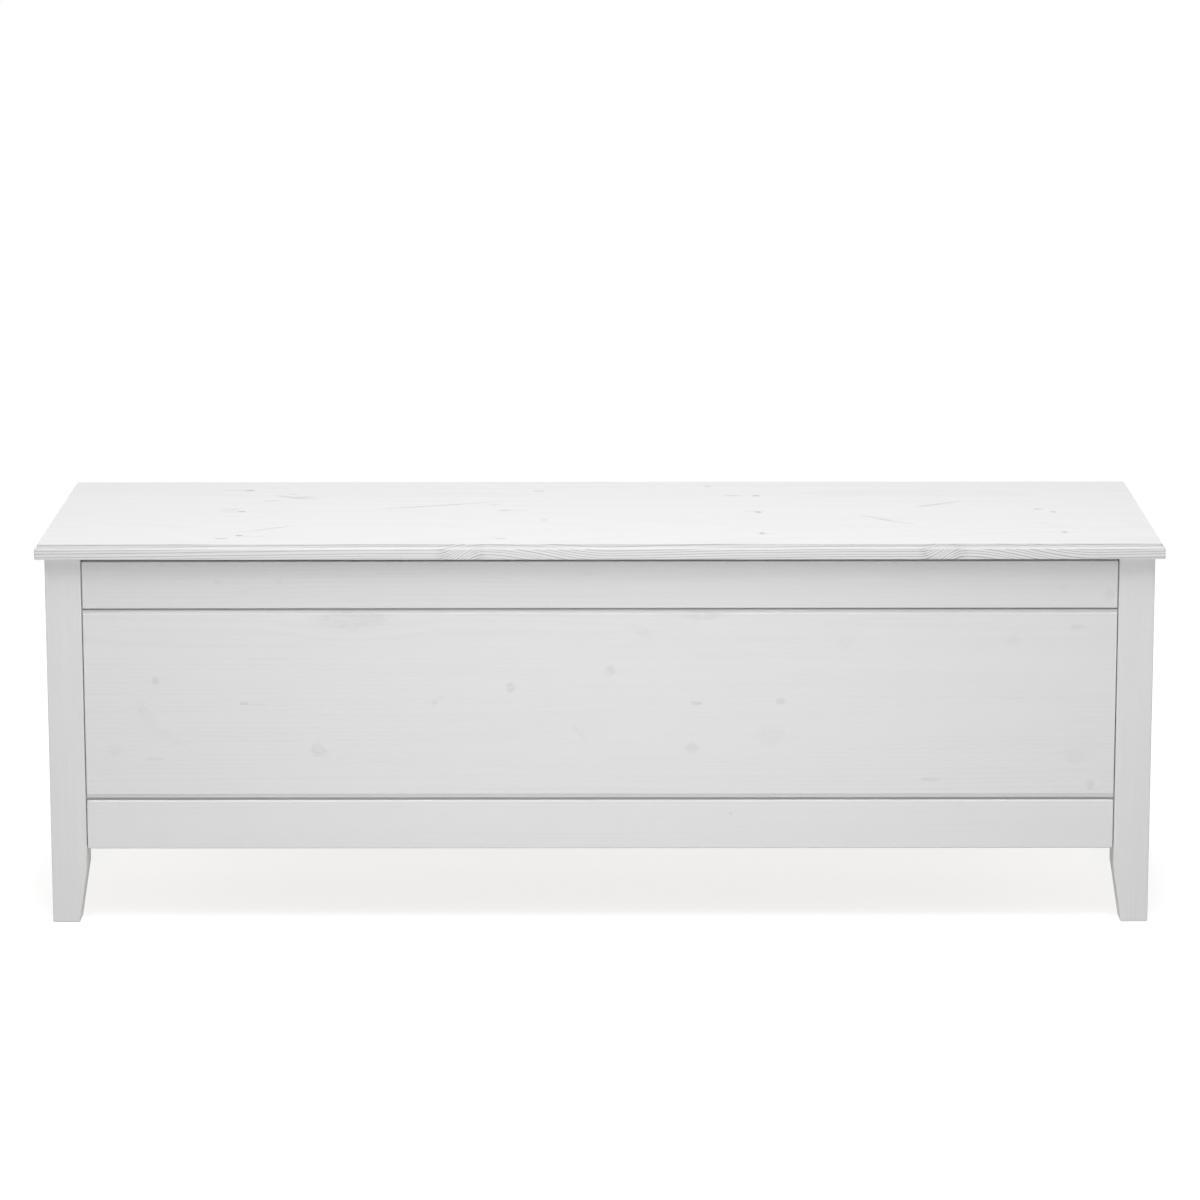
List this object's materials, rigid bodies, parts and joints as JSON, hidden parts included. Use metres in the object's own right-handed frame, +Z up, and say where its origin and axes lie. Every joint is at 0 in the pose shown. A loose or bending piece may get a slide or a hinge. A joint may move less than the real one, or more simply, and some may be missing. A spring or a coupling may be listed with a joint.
{
  "type": "blanket chest",
  "caption": "Bench-height wooden blanket chest on four tapered legs, with framed panels and a hinged lid held open by slotted stays.",
  "frame": {"origin": "on the floor, under the middle of the lid", "axes": "+Z up, the front of the chest looks towards -Y, +X runs along the chest to the right of someone who faces the front"},
  "size_m": [1.384, 0.45, 0.48],
  "materials": {
    "glazed_pine": "thin white glaze, satin, grain and knots showing faintly",
    "bare_pine": "planed and unpainted",
    "plated_steel": "zinc plated, satin"
  },
  "bodies": {
    "case": {"leg_front_left": "glazed_pine", "leg_front_right": "glazed_pine", "leg_back_left": "glazed_pine", "leg_back_right": "glazed_pine", "front_top_rail": "glazed_pine", "front_panel": "glazed_pine", "front_bottom_rail": "glazed_pine", "front_cleat": "bare_pine", "back_top_rail": "glazed_pine", "back_panel": "glazed_pine", "back_bottom_rail": "glazed_pine", "back_cleat": "bare_pine", "left_top_rail": "glazed_pine", "left_panel": "glazed_pine", "left_bottom_rail": "glazed_pine", "left_cleat": "bare_pine", "right_top_rail": "glazed_pine", "right_panel": "glazed_pine", "right_bottom_rail": "glazed_pine", "right_cleat": "bare_pine", "bottom_bearer": "bare_pine", "bottom_board_1": "bare_pine", "bottom_board_2": "bare_pine", "bottom_board_3": "bare_pine", "bottom_board_4": "bare_pine", "hinge_case_leaf_left": "plated_steel", "hinge_case_leaf_right": "plated_steel", "hinge_pin_left": "plated_steel", "hinge_pin_right": "plated_steel", "hinge_case_screw_left_1": "plated_steel", "hinge_case_screw_left_2": "plated_steel", "hinge_case_screw_left_3": "plated_steel", "hinge_case_screw_right_1": "plated_steel", "hinge_case_screw_right_2": "plated_steel", "hinge_case_screw_right_3": "plated_steel", "stay_stud_left": "plated_steel", "stay_stud_right": "plated_steel"},
    "lid": {"lid_panel": "glazed_pine", "lid_batten_left": "glazed_pine", "lid_batten_middle": "glazed_pine", "lid_batten_right": "glazed_pine", "hinge_lid_leaf_left": "plated_steel", "hinge_lid_leaf_right": "plated_steel", "hinge_lid_screw_left_1": "plated_steel", "hinge_lid_screw_left_2": "plated_steel", "hinge_lid_screw_left_3": "plated_steel", "hinge_lid_screw_right_1": "plated_steel", "hinge_lid_screw_right_2": "plated_steel", "hinge_lid_screw_right_3": "plated_steel", "stay_bracket_left": "plated_steel", "stay_bracket_right": "plated_steel", "stay_bracket_screw_left_1": "plated_steel", "stay_bracket_screw_left_2": "plated_steel", "stay_bracket_screw_right_1": "plated_steel", "stay_bracket_screw_right_2": "plated_steel", "stay_rivet_left": "plated_steel", "stay_rivet_right": "plated_steel"},
    "stay_arm_left": {"stay_arm_left": "plated_steel"},
    "stay_arm_right": {"stay_arm_right": "plated_steel"}
  },
  "joints": [
    {"name": "lid_hinge", "type": "hinge", "parent": "case", "child": "lid", "pos_m": [0, 0.2155, 0.4584], "axis": [-1, 0, 0], "range_deg": [0, 95]},
    {"name": "stay_left_pivot", "type": "hinge", "parent": "lid", "child": "stay_arm_left", "pos_m": [-0.6561, 0.06593, 0.447], "axis": [-1, 0, 0], "range_deg": [-47.5, 0]},
    {"name": "stay_right_pivot", "type": "hinge", "parent": "lid", "child": "stay_arm_right", "pos_m": [0.6561, 0.06593, 0.447], "axis": [-1, 0, 0], "range_deg": [-47.5, 0]}
  ],
  "couplings": [
    {"joint": "stay_left_pivot", "follows": "lid_hinge", "ratio": -0.5},
    {"joint": "stay_right_pivot", "follows": "lid_hinge", "ratio": -0.5}
  ]
}
